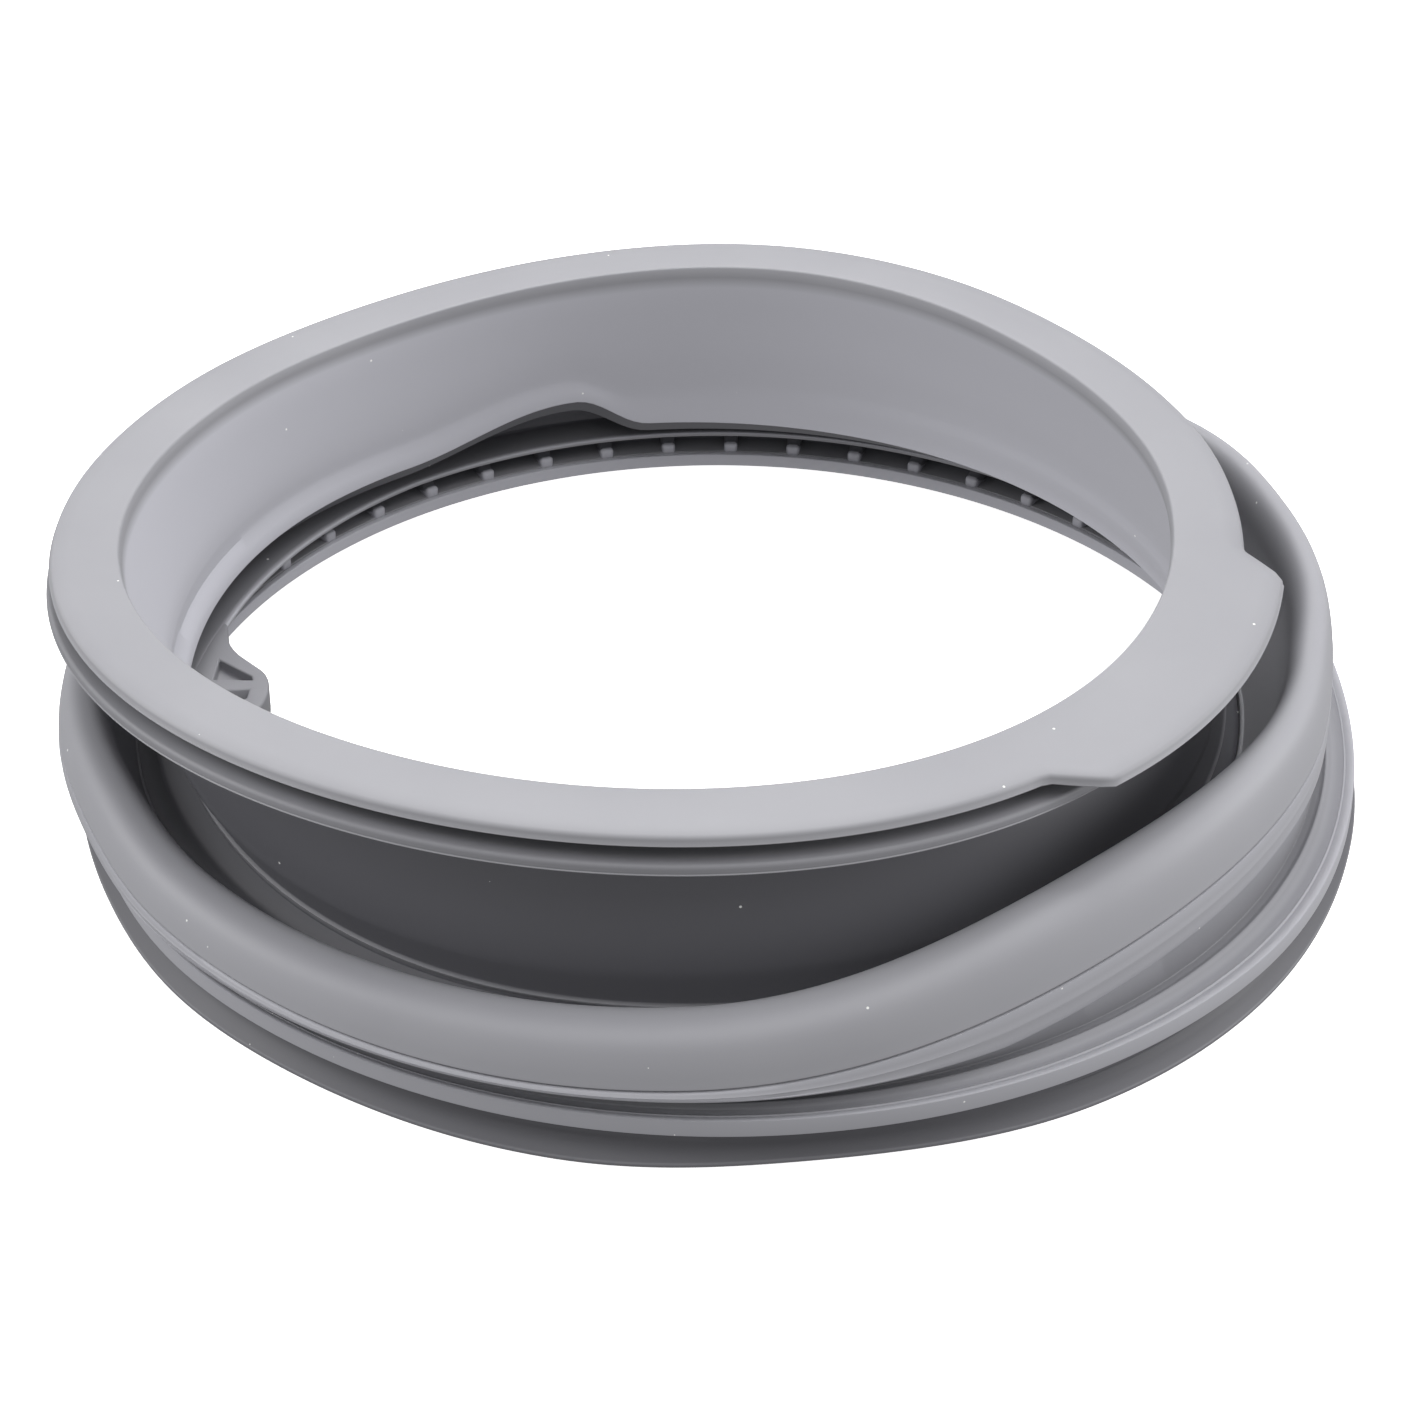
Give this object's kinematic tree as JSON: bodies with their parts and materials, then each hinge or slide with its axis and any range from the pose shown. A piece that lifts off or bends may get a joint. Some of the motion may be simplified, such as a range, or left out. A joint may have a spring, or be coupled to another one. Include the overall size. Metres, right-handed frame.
{
  "type": "washing machine door seal",
  "caption": "Round rubber door seal for a front-loading washing machine: grooved cabinet flange with a pull tab, bellows, and a toothed clamping ring with a lug.",
  "frame": {"origin": "middle of the footprint, on the flat face of the tub end", "axes": "+Z from the tub end up to the door end, -Y towards the viewer of the picture, +X to the picture's right"},
  "size_m": [0.3708, 0.3746, 0.092],
  "materials": {
    "epdm_rubber": "moulded matt grey EPDM with a faint talc bloom"
  },
  "bodies": {
    "root": {"door_seal": "epdm_rubber"}
  },
  "joints": []
}
